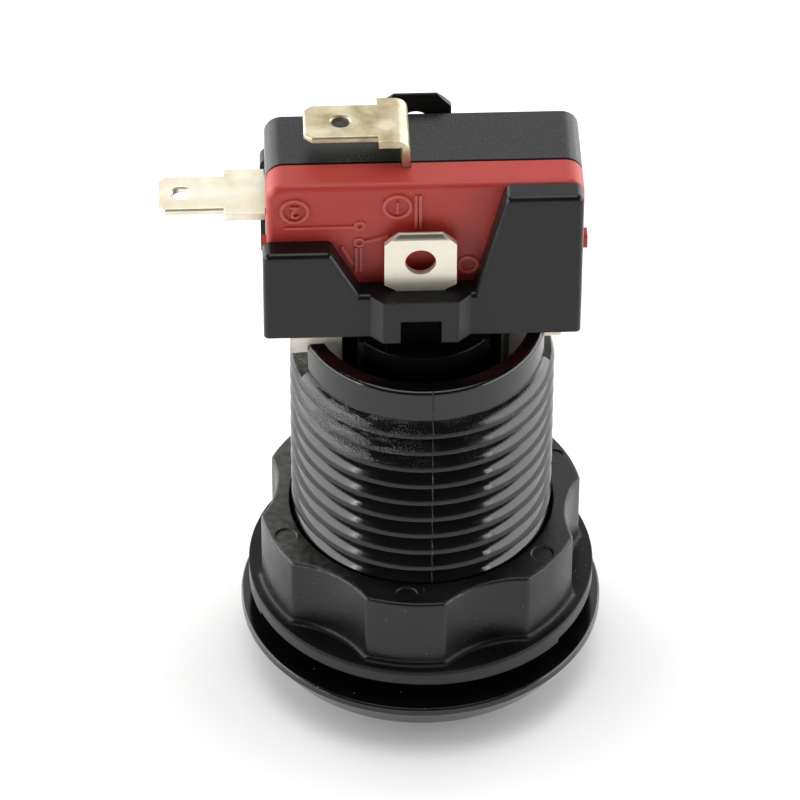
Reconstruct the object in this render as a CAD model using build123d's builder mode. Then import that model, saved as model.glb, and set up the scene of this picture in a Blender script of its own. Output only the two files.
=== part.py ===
from build123d import *
import os
from math import cos, radians, sin

# Illuminated arcade push button with a microswitch, standing on its button face.
# The origin is on the barrel's axis at the bezel's back face, where a panel seats.
# +Z runs from the button to the switch, X along the switch, and -Y faces the switch cover.

# Driving sizes of the button cap and the pusher
cap_d = 20.6
cap_h = 10.3
cap_stand = 1.9
cap_wall = 1.3
cap_face_t = 1.6
cap_edge_r = 1.1
dish_depth = 1.4
stroke = 2.0
pusher_wall = 1.5
pusher_floor_t = 1.4
pusher_tube_h = 8.7
light_window_d = 11.0
leg_t = 1.4
leg_w = 5.2
foot_out = 1.1
foot_rise = 0.5
foot_h = 1.8
heel_reach = 0.5
foot_edge_r = 0.3

# Driving sizes of the bezel and the barrel
bezel_d = 33.4
bezel_h = 3.8
rim_t = 0.75
rim_edge = 0.15
crown_d = 29.2
crown_round = 1.5
lip_drop = 0.9
barrel_h = 33.0
barrel_wall = 1.4
collar_d = 22.2
collar_h = 3.2
collar_edge = 0.35
thread_d = 23.9
thread_depth = 0.9
thread_pitch = 1.96
thread_flank_h = 1.34
thread_crest_tilt = 9.0
thread_crest_h = 0.05
thread_under_h = 0.45
shoulder_h = 2.0
slot_w = 6.4
slot_depth = 3.8
barrel_turn = 4.0
web_z = 21.0
web_t = 2.0
web_bore_d = 14.2

# Driving sizes of the panel nut
panel_t = 2.05
nut_d = 31.9
nut_flange_t = 1.5
nut_h = 9.25
nut_grip_share = 0.737
nut_valley_share = 0.34
nut_lobe_count = 6
nut_lobe_half_angle = 14.0
nut_turn = -97.9
nut_fillet_share = 0.5
nut_corner_r = 0.7
nut_edge_r = 0.3
tooth_count = 3
tooth_h = 0.4
tooth_l = 15.0
tooth_inner_r = 12.6
tooth_turn = -68.0
ejector_d = 2.0
ejector_depth = 0.15

# Driving sizes of the return spring
spring_d = 13.2
spring_wire = 0.7
spring_turns = 9

# Driving sizes of the lamp holder
sleeve_l = 11.0
sleeve_wall = 0.8
sleeve_depth = 6.0
socket_w = 9.4
socket_t = 4.8
socket_h = 7.5
holder_flat_w = 11.84
holder_rise = 0.5
lug_d = 17.2
lug_w = 5.8
lug_t = 1.7
pad_d = 16.8
pad_t = 1.5
neck_l = 11.8
neck_w = 8.8
neck_h = 2.2
rib_l = 6.0
rib_reach = 7.0
rib_floor = 0.4
plate_l = 28.0
plate_x = -0.3
plate_t = 2.03
plate_lift = 0.7
plate_h = 9.28
plate_arm_h = 15.12
plate_rear_h = 10.32
plate_corner_r = 0.7
plate_edge_r = 0.5
cutout_left_top = 8.35
cutout_left = 5.8
cutout_right = 4.3
cutout_right_top = 6.95
boss_x = -0.47
boss_l = 8.8
boss_chamfer = 1.07
boss_h = 4.52
window_w = 3.6
window_h = 2.4
window_depth = 1.2
peg_l = 4.4

# Driving sizes of the lamp and its terminals
lamp_collar_t = 2.5
wedge_w = 8.8
wedge_t = 2.4
wedge_l = 7.0
led_d = 5.0
led_h = 8.5
led_flange_d = 5.8
led_flange_t = 1.0
resistor_d = 1.4
resistor_l = 3.5
lead_d = 0.5
lead_spread = 4.6
lamp_tab_w = 6.35
lamp_tab_h = 6.2
lamp_tab_t = 0.6
lamp_tab_y = 6.2
lamp_tab_hole_d = 2.7
lamp_tab_tip = 1.25
lamp_tab_foot = 0.6
lamp_tab_bevel = 0.2
lamp_tab_bevel_l = 0.65
lamp_neck_w = 4.3
leaf_lift = 1.2

# Driving sizes of the switch
switch_l = 27.8
switch_w = 10.3
switch_h = 15.9
switch_corner_r = 1.6
cover_edge_r = 0.6
case_edge_r = 0.15
switch_wall = 1.4
cover_t = 3.2
switch_hole_d = 3.1
switch_hole_x = 11.1
switch_hole_low = 2.82
switch_hole_rise = 10.3
boss_wall = 0.85
nub_h = 0.4
nub_w = 1.4
nub_d = 1.6
nub_r = 0.4
nub_z = 8.4
pin_x = 9.1
pin_d = 2.8
pin_flange_d = 4.0
pin_flange_t = 1.0
blade_lift = 7.47
blade_t = 0.3
blade_w = 3.6
blade_left = -9.6
blade_right = 12.0
contact_x = -7.5
contact_d = 2.6
contact_head_h = 0.9
contact_shank_d = 1.4
contact_gap = 0.95
fixed_contact_h = 0.8
stop_t = 0.6
stop_right = -6.0
stop_pocket = 0.7

# Driving sizes of the switch's terminals
terminal_t = 0.7
tab_wide = 6.35
tab_narrow = 4.75
tab_y = 0.57
tab_hole_d = 1.6
tab_tip = 0.7
tab_edge = 0.15
common_x = -1.25
common_rise = 2.82
common_wide_l = 2.75
common_tab_l = 6.5
common_hole = 3.25
common_bend_r = 1.2
common_inner_back = 1.2
open_wide_l = 3.6
open_tab_l = 5.9
open_hole = 2.15
open_right = -5.6

# Named clearances
cap_gap = 0.3
stop_gap = 0.4
press_gap = 0.1
leg_gap = 0.5
foot_gap = 0.1
web_gap = 0.15
web_end_gap = 0.1
spring_gap = 0.55
lamp_gap = 0.3
seat_gap = 0.08
side_gap = 0.05
strip_gap = 0.05
pin_gap = 0.1
peg_gap = 0.1
touch_gap = 0.05
blade_clearance = 0.2
lug_step = 0.2
nut_gap = 0.2
resistor_gap = 0.1

# Radii and heights that follow
cap_r = cap_d / 2
cap_bottom = -bezel_h - cap_stand
cap_top = cap_bottom + cap_h
cap_floor = cap_bottom + dish_depth + cap_face_t
cap_inner_r = cap_r - cap_wall
mouth_r = cap_r + cap_gap
mouth_top = cap_top + stroke + stop_gap
pusher_r = cap_inner_r - press_gap
pusher_seat = cap_floor + pusher_floor_t
collar_r = collar_d / 2
bore_r = collar_r - barrel_wall
thread_r = thread_d / 2
root_r = thread_r - thread_depth
thread_top = barrel_h - collar_h
slot_floor = barrel_h - slot_depth
web_top = web_z + web_t
web_cut_w = leg_w + 2 * leg_gap
foot_top = barrel_h + foot_rise
foot_bottom = foot_top - foot_h
heel_bottom = slot_floor + foot_gap
heel_r = bore_r + heel_reach
foot_w = slot_w - 2 * leg_gap
foot_r = collar_r + foot_out
leg_inner = pusher_r - leg_t
leg_bottom = cap_top + cap_gap

holder_r = web_bore_d / 2 - web_gap
lug_top = web_z - web_end_gap
lug_bottom = lug_top - lug_t
holder_shoulder = lug_bottom - lug_step
sleeve_r = (spring_d - spring_wire) / 2 - spring_gap
sleeve_bottom = holder_shoulder - sleeve_l
socket_floor = sleeve_bottom + sleeve_depth
holder_top = barrel_h + holder_rise
neck_top = holder_top + neck_h

switch_bottom = neck_top + seat_gap
switch_top = switch_bottom + switch_h
switch_front = -switch_w / 2
switch_back = switch_w / 2
split_y = switch_front + cover_t
hole_low_z = switch_bottom + switch_hole_low
hole_high_z = hole_low_z + switch_hole_rise
cavity_bottom = switch_bottom + switch_wall
cavity_top = switch_top - switch_wall
cavity_x = switch_l / 2 - switch_wall
hole_boss_r = switch_hole_d / 2 + boss_wall

plate_inner = switch_w / 2 + side_gap
plate_outer = plate_inner + plate_t
plate_bottom = switch_bottom + plate_lift
plate_top = plate_bottom + plate_h
plate_arm_top = plate_bottom + plate_arm_h
plate_rear_top = plate_bottom + plate_rear_h
cutout_bottom = plate_bottom + boss_h

blade_z = switch_bottom + blade_lift
blade_top = blade_z + blade_t
pin_bottom = foot_top + touch_gap
pin_top = blade_z - touch_gap
contact_top = blade_top + touch_gap + contact_head_h
contact_bottom = blade_z - touch_gap - contact_head_h
fixed_contact_z = contact_top + contact_gap - touch_gap
open_z = fixed_contact_z + fixed_contact_h
common_strip_z = pin_top + stroke + blade_clearance
common_tab_z = switch_top + common_rise - terminal_t

os.makedirs("parts", exist_ok=True)


# Bezel and barrel: one moulding, turned profile with level ridges for the thread
with BuildPart() as bezel_barrel:
    with BuildSketch(Plane.XZ):
        with BuildLine():
            lip = (mouth_r, lip_drop - bezel_h)
            crown = ((mouth_r + crown_d / 2) / 2, -bezel_h)
            brow = (crown_d / 2, -bezel_h)
            edge = (bezel_d / 2, -rim_t)
            collar_side = (collar_r, barrel_h - collar_edge)
            collar_lip = (collar_r - collar_edge, barrel_h)
            TangentArc(crown, lip, tangent=(-1, 0))
            FilletPolyline(crown, brow, edge, radius=crown_round)
            Polyline(
                edge,
                (bezel_d / 2, -rim_edge),
                (bezel_d / 2 - rim_edge, 0),
                (thread_r, 0),
                (thread_r, shoulder_h),
                (root_r, shoulder_h),
                (root_r, thread_top),
                (collar_r, thread_top),
                collar_side,
            )
            TangentArc(collar_side, collar_lip, tangent=(0, 1))
            Polyline(
                collar_lip,
                (bore_r, barrel_h),
                (bore_r, mouth_top),
                (mouth_r, mouth_top),
                lip,
            )
        make_face()
        ridge_count = int((thread_top - shoulder_h) / thread_pitch)
        crest_lean = (-sin(radians(thread_crest_tilt)), cos(radians(thread_crest_tilt)))
        for ridge in range(ridge_count):
            ridge_top = thread_top - ridge * thread_pitch
            crest_top = ridge_top - thread_flank_h
            crest_bottom = crest_top - thread_crest_h
            with BuildLine():
                TangentArc((thread_r, crest_top), (root_r, ridge_top), tangent=crest_lean)
                Polyline(
                    (root_r, ridge_top),
                    (bore_r + barrel_wall / 2, ridge_top),
                    (bore_r + barrel_wall / 2, crest_bottom - thread_under_h),
                    (root_r, crest_bottom - thread_under_h),
                    (thread_r, crest_bottom),
                    (thread_r, crest_top),
                )
            make_face()
    revolve(axis=Axis.Z)
    with BuildSketch(Plane.XY.offset(slot_floor)):
        Rectangle(bezel_d, slot_w, rotation=barrel_turn)
    extrude(amount=slot_depth, mode=Mode.SUBTRACT)
    with BuildSketch(Plane.XY.offset(web_z)):
        Circle(bore_r + barrel_wall / 2)
        Circle(web_bore_d / 2, mode=Mode.SUBTRACT)
        Rectangle(2 * pusher_r, web_cut_w, rotation=barrel_turn, mode=Mode.SUBTRACT)
    extrude(amount=web_t)
bezel_barrel.part.label = "bezel_barrel"
export_step(bezel_barrel.part, "parts/bezel_barrel.step")


# Panel nut: flange with ramped teeth below and a lobed grip above
def on_circle(radius, angle):
    return (radius * cos(radians(angle)), radius * sin(radians(angle)))


nut_bottom = panel_t + tooth_h
nut_top = panel_t + nut_h
nut_bore_r = thread_r + nut_gap
lobe_step = 360 / nut_lobe_count
nut_wall = nut_d / 2 - nut_bore_r
lobe_r = nut_bore_r + nut_grip_share * nut_wall
valley_r = nut_bore_r + nut_valley_share * nut_wall
nut_fillet_r = nut_fillet_share * (nut_d / 2 - lobe_r)
with BuildPart() as panel_nut:
    with BuildSketch(Plane.XY.offset(nut_bottom)):
        with BuildLine():
            for lobe in range(nut_lobe_count):
                middle = nut_turn + lobe * lobe_step
                start = middle - nut_lobe_half_angle
                end = middle + nut_lobe_half_angle
                following = middle + lobe_step - nut_lobe_half_angle
                valley = middle + lobe_step / 2
                ThreePointArc(
                    on_circle(lobe_r, start),
                    on_circle(lobe_r, middle),
                    on_circle(lobe_r, end),
                )
                ThreePointArc(
                    on_circle(lobe_r, end),
                    on_circle(valley_r, valley),
                    on_circle(lobe_r, following),
                )
        make_face()
    extrude(amount=nut_top - nut_bottom)
    fillet(panel_nut.edges().filter_by(Axis.Z), nut_corner_r)
    fillet(panel_nut.faces().sort_by(Axis.Z)[-1].edges(), nut_edge_r)
    with BuildSketch(Plane.XY.offset(nut_bottom)):
        Circle(nut_d / 2)
    extrude(amount=nut_flange_t)
    flange_top = panel_nut.faces().filter_by(Axis.Z).group_by(Axis.Z)[1].face()
    fillet(flange_top.inner_wires().edges(), nut_fillet_r)
    for tooth in range(tooth_count):
        angle = tooth_turn + tooth * 360 / tooth_count
        tooth_plane = Plane(
            origin=(*on_circle(tooth_inner_r, angle), nut_bottom),
            x_dir=(*on_circle(1, angle + 90), 0),
            z_dir=(*on_circle(1, angle), 0),
        )
        with BuildSketch(tooth_plane):
            with BuildLine():
                Polyline(
                    (-tooth_l / 2, 0),
                    (tooth_l / 2, -tooth_h),
                    (tooth_l / 2, nut_flange_t / 2),
                    (-tooth_l / 2, nut_flange_t / 2),
                    close=True,
                )
            make_face()
        extrude(amount=nut_d / 2 - tooth_inner_r)
    with BuildSketch(Plane.XY.offset(panel_t)):
        Circle(nut_d / 2)
        Circle(nut_bore_r, mode=Mode.SUBTRACT)
    extrude(amount=nut_h, mode=Mode.INTERSECT)
    with BuildSketch(Plane.XY.offset(nut_top)):
        with PolarLocations((nut_bore_r + lobe_r) / 2, nut_lobe_count, nut_turn):
            Circle(ejector_d / 2)
    extrude(amount=-ejector_depth, mode=Mode.SUBTRACT)
panel_nut.part.label = "panel_nut"
export_step(panel_nut.part, "parts/panel_nut.step")


# Button cap: dished face with a rounded edge and a plain skirt
with BuildPart() as button_cap:
    with BuildSketch(Plane.XZ):
        with BuildLine():
            dish = (0, cap_bottom + dish_depth)
            crest = (cap_r - cap_edge_r, cap_bottom)
            side = (cap_r, cap_bottom + cap_edge_r)
            TangentArc(dish, crest, tangent=(1, 0))
            TangentArc(crest, side, tangent=(1, 0))
            Polyline(
                side,
                (cap_r, cap_top),
                (cap_inner_r, cap_top),
                (cap_inner_r, cap_floor),
                (0, cap_floor),
                dish,
            )
        make_face()
    revolve(axis=Axis.Z)
button_cap.part.label = "button_cap"
export_step(button_cap.part, "parts/button_cap.step")


# Pusher: a cup with a light window, and two legs whose heels stand in the barrel's slots
with BuildPart() as pusher:
    with BuildSketch(Plane.XY.offset(cap_floor)):
        Circle(pusher_r)
        Circle(light_window_d / 2, mode=Mode.SUBTRACT)
    extrude(amount=pusher_floor_t)
    with BuildSketch(Plane.XY.offset(cap_floor)):
        Circle(pusher_r)
        Circle(pusher_r - pusher_wall, mode=Mode.SUBTRACT)
    extrude(amount=pusher_tube_h)
    with BuildSketch(Plane.XY.offset(leg_bottom)):
        with PolarLocations((leg_inner + pusher_r) / 2, 2, barrel_turn):
            Rectangle(leg_t, leg_w)
    extrude(amount=foot_top - leg_bottom)
    with BuildSketch(Plane.XY.offset(foot_bottom)):
        with PolarLocations((leg_inner + foot_r) / 2, 2, barrel_turn):
            Rectangle(foot_r - leg_inner, foot_w)
    extrude(amount=foot_h)
    with BuildSketch(Plane.XY.offset(heel_bottom)):
        with PolarLocations((leg_inner + heel_r) / 2, 2, barrel_turn):
            Rectangle(heel_r - leg_inner, foot_w)
    extrude(amount=foot_bottom - heel_bottom)
    fillet(pusher.faces().filter_by(Axis.Z).sort_by(Axis.Z)[-2:].edges(), foot_edge_r)
pusher.part.label = "pusher"
export_step(pusher.part, "parts/pusher.step")


# Return spring: from the pusher's floor to the lamp holder's shoulder
spring_low = pusher_seat + spring_wire / 2
spring_high = holder_shoulder - spring_wire / 2
with BuildPart() as return_spring:
    with BuildLine():
        coil = Helix(
            pitch=(spring_high - spring_low) / spring_turns,
            height=spring_high - spring_low,
            radius=spring_d / 2,
            center=(0, 0, spring_low),
        )
    with BuildSketch(Plane(origin=coil @ 0, z_dir=coil % 0)):
        Circle(spring_wire / 2)
    sweep(path=coil, is_frenet=True)
return_spring.part.label = "return_spring"
export_step(return_spring.part, "parts/return_spring.step")


# Lamp holder: socket tube, bayonet lugs, neck, and the two plates that clip round the switch
strip_front = lamp_tab_y + lamp_tab_t / 2 + strip_gap
leaf_outer = socket_t / 2 - strip_gap
leaf_inner = leaf_outer - lamp_tab_t
strip_z = neck_top - lamp_tab_t - strip_gap
channel_w = lamp_neck_w + 2 * strip_gap
rib_bottom = strip_z - strip_gap - rib_floor
plate_left = plate_x - plate_l / 2
plate_right = plate_x + plate_l / 2
boss_left = boss_x - boss_l / 2
boss_right = boss_x + boss_l / 2
with BuildPart() as lamp_holder:
    with BuildSketch(Plane.XZ.offset(plate_inner)) as front_plate:
        with BuildLine():
            Polyline(
                (plate_left, plate_bottom),
                (plate_left, plate_top),
                (-cutout_left_top, plate_top),
                (-cutout_left, cutout_bottom),
                (cutout_right, cutout_bottom),
                (cutout_right_top, plate_arm_top),
                (plate_right, plate_arm_top),
                (plate_right, plate_bottom),
                close=True,
            )
        make_face()
        front_corners = front_plate.vertices().group_by(Axis.Y)
        fillet(front_corners[-1] + front_corners[-2], plate_corner_r)
    extrude(amount=plate_t)
    fillet(lamp_holder.faces().sort_by(Axis.Y)[0].edges().sort_by(Axis.Z)[1:], plate_edge_r)
    with BuildSketch(Plane.XZ.offset(-plate_inner)) as rear_plate:
        with BuildLine():
            Polyline(
                (plate_left, plate_bottom),
                (plate_left, plate_rear_top),
                (plate_right, plate_rear_top),
                (plate_right, plate_bottom),
                close=True,
            )
        make_face()
        fillet(rear_plate.vertices().group_by(Axis.Y)[-1], plate_corner_r)
    extrude(amount=-plate_t)
    fillet(lamp_holder.faces().sort_by(Axis.Y)[-1].edges().sort_by(Axis.Z)[1:], plate_edge_r)

    with BuildSketch(Plane.XY.offset(sleeve_bottom)):
        Circle(sleeve_r)
    extrude(amount=sleeve_l)
    with BuildSketch(Plane.XY.offset(holder_shoulder)):
        Circle(holder_r)
        Rectangle(holder_flat_w, 2 * holder_r, mode=Mode.INTERSECT)
    extrude(amount=holder_top - holder_shoulder)
    with BuildSketch(Plane.XY.offset(lug_bottom)):
        Circle(lug_d / 2)
        Rectangle(lug_w, lug_d, mode=Mode.INTERSECT)
    extrude(amount=lug_t)
    with BuildSketch(Plane.XY.offset(web_top + web_end_gap)):
        Circle(pad_d / 2)
        Rectangle(lug_w, pad_d, mode=Mode.INTERSECT)
    extrude(amount=pad_t)
    with BuildSketch(Plane.XY.offset(holder_top)):
        Rectangle(neck_l, neck_w)
    extrude(amount=neck_h)

    for side in (-1, 1):
        with BuildSketch(Plane.XY.offset(rib_bottom)):
            with Locations((boss_x, side * (plate_inner + rib_reach) / 2)):
                Rectangle(rib_l, rib_reach - plate_inner)
        extrude(amount=cutout_bottom - rib_bottom)
        with BuildSketch(Plane.XY.offset(rib_bottom)):
            with Locations((boss_x, side * (neck_w / 2 + rib_reach) / 2)):
                Rectangle(rib_l, rib_reach - neck_w / 2)
        extrude(amount=neck_top - rib_bottom)
        with BuildSketch(Plane.XY.offset(plate_bottom)):
            with BuildLine():
                Polyline(
                    (boss_left, side * plate_inner),
                    (boss_left, side * plate_outer),
                    (boss_left + boss_chamfer, side * (plate_outer + boss_chamfer)),
                    (boss_right - boss_chamfer, side * (plate_outer + boss_chamfer)),
                    (boss_right, side * plate_outer),
                    (boss_right, side * plate_inner),
                    close=True,
                )
            make_face()
        extrude(amount=boss_h)

    with BuildSketch(Plane.XZ.offset(plate_inner)):
        with Locations((switch_hole_x, hole_high_z), (-switch_hole_x, hole_low_z)):
            Circle(switch_hole_d / 2 - peg_gap)
    extrude(amount=-peg_l)
    with BuildSketch(Plane.XZ.offset(-plate_inner)):
        with Locations((-switch_hole_x, hole_low_z)):
            Circle(switch_hole_d / 2 - peg_gap)
    extrude(amount=peg_l)

    with BuildSketch(Plane.XY.offset(sleeve_bottom)):
        Circle(sleeve_r - sleeve_wall)
    extrude(amount=sleeve_depth, mode=Mode.SUBTRACT)
    with BuildSketch(Plane.XY.offset(socket_floor)):
        Rectangle(socket_w, socket_t)
    extrude(amount=socket_h, mode=Mode.SUBTRACT)
    for side, riser_top in ((-1, cutout_bottom), (1, plate_rear_top)):
        with BuildSketch(Plane.YZ.offset(boss_x)):
            with BuildLine():
                Polyline(
                    (side * (leaf_inner - strip_gap), socket_floor),
                    (side * (leaf_outer + strip_gap), socket_floor),
                    (side * (leaf_outer + strip_gap), strip_z - strip_gap),
                    (side * strip_front, strip_z - strip_gap),
                    (side * strip_front, riser_top),
                    (side * plate_inner, riser_top),
                    (side * plate_inner, neck_top),
                    (side * (leaf_inner - strip_gap), neck_top),
                    close=True,
                )
            make_face()
        extrude(amount=channel_w / 2, both=True, mode=Mode.SUBTRACT)
        window_y = side * (plate_outer + boss_chamfer - window_depth / 2)
        with BuildSketch(Plane.XY.offset(plate_bottom)):
            with Locations((boss_x, window_y)):
                Rectangle(window_w, window_depth)
        extrude(amount=window_h, mode=Mode.SUBTRACT)
lamp_holder.part.label = "lamp_holder"
export_step(lamp_holder.part, "parts/lamp_holder.step")


# Lamp terminals: a leaf beside the lamp's wedge, a step under the switch and a pierced tab
leaf_bottom = socket_floor + leaf_lift
for node, side, tab_base in (
    ("lamp_terminal_front", -1, cutout_bottom),
    ("lamp_terminal_rear", 1, plate_rear_top),
):
    tab_inner = lamp_tab_y - lamp_tab_t / 2
    tab_outer = lamp_tab_y + lamp_tab_t / 2
    tab_low = tab_base + strip_gap
    tab_high = tab_low + lamp_tab_h
    with BuildPart() as lamp_terminal:
        with BuildSketch(Plane.YZ.offset(boss_x)):
            with BuildLine():
                Polyline(
                    (side * leaf_inner, leaf_bottom),
                    (side * leaf_outer, leaf_bottom),
                    (side * leaf_outer, strip_z),
                    (side * tab_outer, strip_z),
                    (side * tab_outer, tab_low + lamp_tab_foot),
                    (side * tab_inner, tab_low + lamp_tab_foot),
                    (side * tab_inner, strip_z + lamp_tab_t),
                    (side * leaf_inner, strip_z + lamp_tab_t),
                    close=True,
                )
            make_face()
        extrude(amount=lamp_neck_w / 2, both=True)
        tab_origin = (boss_x, side * lamp_tab_y, 0)
        with BuildSketch(Plane(origin=tab_origin, x_dir=(1, 0, 0), z_dir=(0, -1, 0))):
            with BuildLine():
                Polyline(
                    (0, tab_low),
                    (lamp_neck_w / 2, tab_low),
                    (lamp_tab_w / 2, tab_low + lamp_tab_foot),
                    (lamp_tab_w / 2, tab_high - lamp_tab_tip),
                    (lamp_tab_w / 2 - lamp_tab_tip, tab_high),
                    (0, tab_high),
                )
                mirror(about=Plane.YZ)
            make_face()
            with Locations((0, (tab_low + tab_high) / 2)):
                Circle(lamp_tab_hole_d / 2, mode=Mode.SUBTRACT)
        extrude(amount=lamp_tab_t / 2, both=True)
        tip_face = lamp_terminal.faces().sort_by(Axis.Z)[-1]
        chamfer(
            tip_face.edges().filter_by(Axis.X),
            length=lamp_tab_bevel,
            length2=lamp_tab_bevel_l,
            reference=tip_face,
        )
    lamp_terminal.part.label = node
    export_step(lamp_terminal.part, f"parts/{node}.step")


# Lamp: wedge base, diode, resistor and the two folded wire contacts
lamp_collar_r = sleeve_r - sleeve_wall - lamp_gap
lamp_collar_z = socket_floor - lamp_collar_t
wedge_top = socket_floor + wedge_l
resistor_bore_r = resistor_d / 2 + resistor_gap
with BuildPart() as lamp_base:
    with BuildSketch(Plane.XY.offset(lamp_collar_z)):
        Circle(lamp_collar_r)
    extrude(amount=lamp_collar_t)
    with BuildSketch(Plane.XY.offset(socket_floor)):
        Rectangle(wedge_w, wedge_t)
    extrude(amount=wedge_l)
    with BuildSketch(Plane.XY.offset(wedge_top - resistor_l - resistor_gap)):
        Circle(resistor_bore_r)
    extrude(amount=resistor_l + resistor_gap, mode=Mode.SUBTRACT)
lamp_base.part.label = "lamp_base"
export_step(lamp_base.part, "parts/lamp_base.step")

with BuildPart() as led_bulb:
    with BuildSketch(Plane.XZ):
        with BuildLine():
            led_low = lamp_collar_z - led_h
            dome_z = led_low + led_d / 2
            Polyline(
                (0, led_low),
                (0, lamp_collar_z),
                (led_flange_d / 2, lamp_collar_z),
                (led_flange_d / 2, lamp_collar_z - led_flange_t),
                (led_d / 2, lamp_collar_z - led_flange_t),
                (led_d / 2, dome_z),
            )
            RadiusArc((led_d / 2, dome_z), (0, led_low), led_d / 2)
        make_face()
    revolve(axis=Axis.Z)
led_bulb.part.label = "led_bulb"
export_step(led_bulb.part, "parts/led_bulb.step")

with BuildPart() as lamp_resistor:
    with BuildSketch(Plane.XY.offset(wedge_top - resistor_l)):
        Circle(resistor_d / 2)
    extrude(amount=resistor_l)
lamp_resistor.part.label = "lamp_resistor"
export_step(lamp_resistor.part, "parts/lamp_resistor.step")

with BuildPart() as lamp_leads:
    with BuildSketch(Plane.XY.offset(socket_floor)):
        with GridLocations(lead_spread, wedge_t + lead_d, 2, 2):
            Circle(lead_d / 2)
    extrude(amount=wedge_l)
lamp_leads.part.label = "lamp_leads"
export_step(lamp_leads.part, "parts/lamp_leads.step")


# Switch housing: a case and a cover that share one outline, cavity and pair of holes
def switch_outline():
    with BuildSketch() as outline:
        with Locations((0, (switch_bottom + switch_top) / 2)):
            RectangleRounded(switch_l, switch_h, switch_corner_r)
        with Locations((switch_hole_x, hole_high_z), (-switch_hole_x, hole_low_z)):
            Circle(switch_hole_d / 2, mode=Mode.SUBTRACT)
    return outline.sketch


def switch_cavity():
    with BuildSketch() as cavity:
        with Locations((0, (cavity_bottom + cavity_top) / 2)):
            Rectangle(2 * cavity_x, cavity_top - cavity_bottom)
        with Locations((switch_hole_x, hole_high_z), (-switch_hole_x, hole_low_z)):
            Circle(hole_boss_r, mode=Mode.SUBTRACT)
    return cavity.sketch


cavity_back = switch_back - switch_wall
stem_left = common_x - terminal_t
stem_notch_x = (common_x + stem_left) / 2
stem_notch_w = terminal_t + 2 * strip_gap
stem_front = tab_y - tab_wide / 2
open_back = tab_y + tab_narrow / 2
with BuildPart() as switch_case:
    with BuildSketch(Plane.XZ.offset(-switch_back)):
        add(switch_outline())
    extrude(amount=switch_back - split_y)
    fillet(switch_case.faces().sort_by(Axis.Y)[-1].outer_wire().edges(), case_edge_r)
    with BuildSketch(Plane.XZ.offset(-cavity_back)):
        add(switch_cavity())
    extrude(amount=cavity_back - split_y, mode=Mode.SUBTRACT)
    with BuildSketch(Plane.XY.offset(switch_bottom)):
        with Locations((pin_x, 0)):
            Circle(pin_d / 2 + pin_gap)
    extrude(amount=switch_wall, mode=Mode.SUBTRACT)
    with BuildSketch(Plane.XZ.offset(-common_inner_back - strip_gap)):
        with Locations((stem_notch_x, switch_top - switch_wall / 2)):
            Rectangle(stem_notch_w, switch_wall)
    extrude(amount=common_inner_back + strip_gap - split_y, mode=Mode.SUBTRACT)
    with BuildSketch(Plane.XZ.offset(-open_back - strip_gap)):
        with Locations((-switch_l / 2 + switch_wall / 2, open_z + terminal_t / 2)):
            Rectangle(switch_wall, terminal_t + 2 * strip_gap)
    extrude(amount=open_back + strip_gap - split_y, mode=Mode.SUBTRACT)
    stop_z = contact_bottom - touch_gap - stop_t / 2
    with BuildSketch(Plane.XZ.offset(-blade_w / 2 - strip_gap)):
        with Locations((-cavity_x - stop_pocket / 2, stop_z)):
            Rectangle(stop_pocket, stop_t + 2 * strip_gap)
    extrude(amount=blade_w / 2 + strip_gap - split_y, mode=Mode.SUBTRACT)
switch_case.part.label = "switch_case"
export_step(switch_case.part, "parts/switch_case.step")

with BuildPart() as switch_cover:
    with BuildSketch(Plane.XZ.offset(-split_y)):
        add(switch_outline())
    extrude(amount=cover_t)
    fillet(switch_cover.faces().sort_by(Axis.Y)[0].outer_wire().edges(), cover_edge_r)
    with BuildSketch(Plane.XZ.offset(-split_y)):
        add(switch_cavity())
    extrude(amount=cover_t - switch_wall, mode=Mode.SUBTRACT)
    with BuildSketch(Plane.XZ.offset(-split_y)):
        with Locations((stem_notch_x, switch_top - switch_wall / 2)):
            Rectangle(stem_notch_w, switch_wall)
    extrude(amount=split_y - stem_front + strip_gap, mode=Mode.SUBTRACT)
    with BuildSketch(Plane.YZ.offset(-switch_l / 2 - nub_h)):
        with Locations(((switch_front + split_y) / 2, switch_bottom + nub_z)):
            RectangleRounded(nub_w, nub_d, nub_r)
    extrude(amount=nub_h)
    with BuildSketch(Plane.YZ.offset(switch_l / 2)):
        with Locations(((switch_front + split_y) / 2, switch_bottom + nub_z)):
            RectangleRounded(nub_w, nub_d, nub_r)
    extrude(amount=nub_h)
switch_cover.part.label = "switch_cover"
export_step(switch_cover.part, "parts/switch_cover.step")


# Switch pin, with a flange that keeps it in the case
pin_flange_z = cavity_bottom + blade_clearance
with BuildPart() as switch_pin:
    with BuildSketch(Plane.XY.offset(pin_bottom)):
        with Locations((pin_x, 0)):
            Circle(pin_d / 2)
    extrude(amount=pin_top - pin_bottom)
    with BuildSketch(Plane.XY.offset(pin_flange_z)):
        with Locations((pin_x, 0)):
            Circle(pin_flange_d / 2)
    extrude(amount=pin_flange_t)
switch_pin.part.label = "switch_pin"
export_step(switch_pin.part, "parts/switch_pin.step")


# Blade, contacts and back stop inside the switch
with BuildPart() as moving_blade:
    with BuildSketch(Plane.XY.offset(blade_z)):
        with Locations(((blade_left + blade_right) / 2, 0)):
            Rectangle(blade_right - blade_left, blade_w)
        with Locations((contact_x, 0)):
            Circle(contact_shank_d / 2 + touch_gap, mode=Mode.SUBTRACT)
    extrude(amount=blade_t)
moving_blade.part.label = "moving_blade"
export_step(moving_blade.part, "parts/moving_blade.step")

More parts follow.
